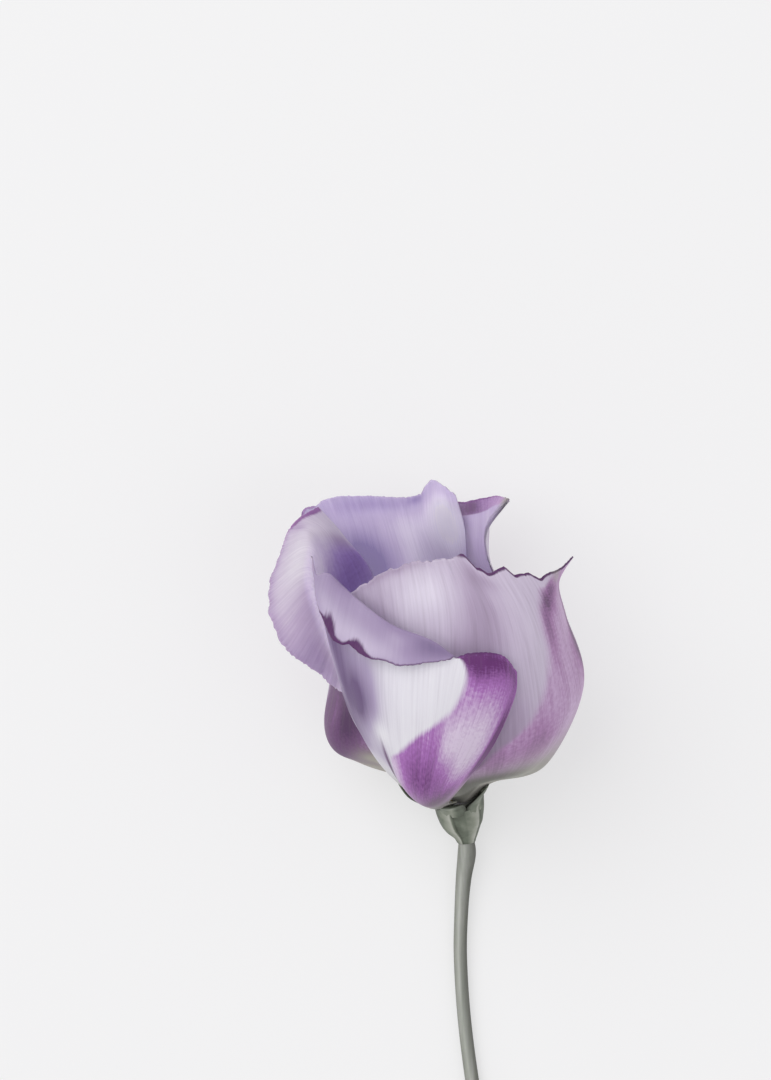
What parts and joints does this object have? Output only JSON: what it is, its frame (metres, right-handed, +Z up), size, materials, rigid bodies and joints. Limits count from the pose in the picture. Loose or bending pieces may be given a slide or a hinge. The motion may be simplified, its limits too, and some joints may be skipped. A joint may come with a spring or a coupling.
{
  "type": "lisianthus flower",
  "caption": "Cut lisianthus bloom with waved, overlapping petals, a green calyx, pistil and stamens on a slender curved stalk, lying on a surface as decoration or for a vase.",
  "frame": {"origin": "middle of the footprint of the whole lying flower, on the surface that it lies on", "axes": "+X to the right of the bloom as seen from above, +Y from the cut end of the stalk to the bloom, +Z up from the surface"},
  "size_m": [0.07, 0.2044, 0.066],
  "materials": {
    "stem": "fresh grey-green stalk, satin",
    "calyx": "fresh green sepals, satin",
    "petal": "soft pale lavender petal with purple margins, matte",
    "pistil": "fresh yellow-green, satin",
    "stamens": "pollen yellow, matte"
  },
  "bodies": {
    "root": {"stem": "stem", "calyx": "calyx", "petal_front": "petal", "petal_right": "petal", "petal_back_right": "petal", "petal_back": "petal", "petal_left": "petal", "pistil": "pistil", "stamens": "stamens"}
  },
  "joints": []
}
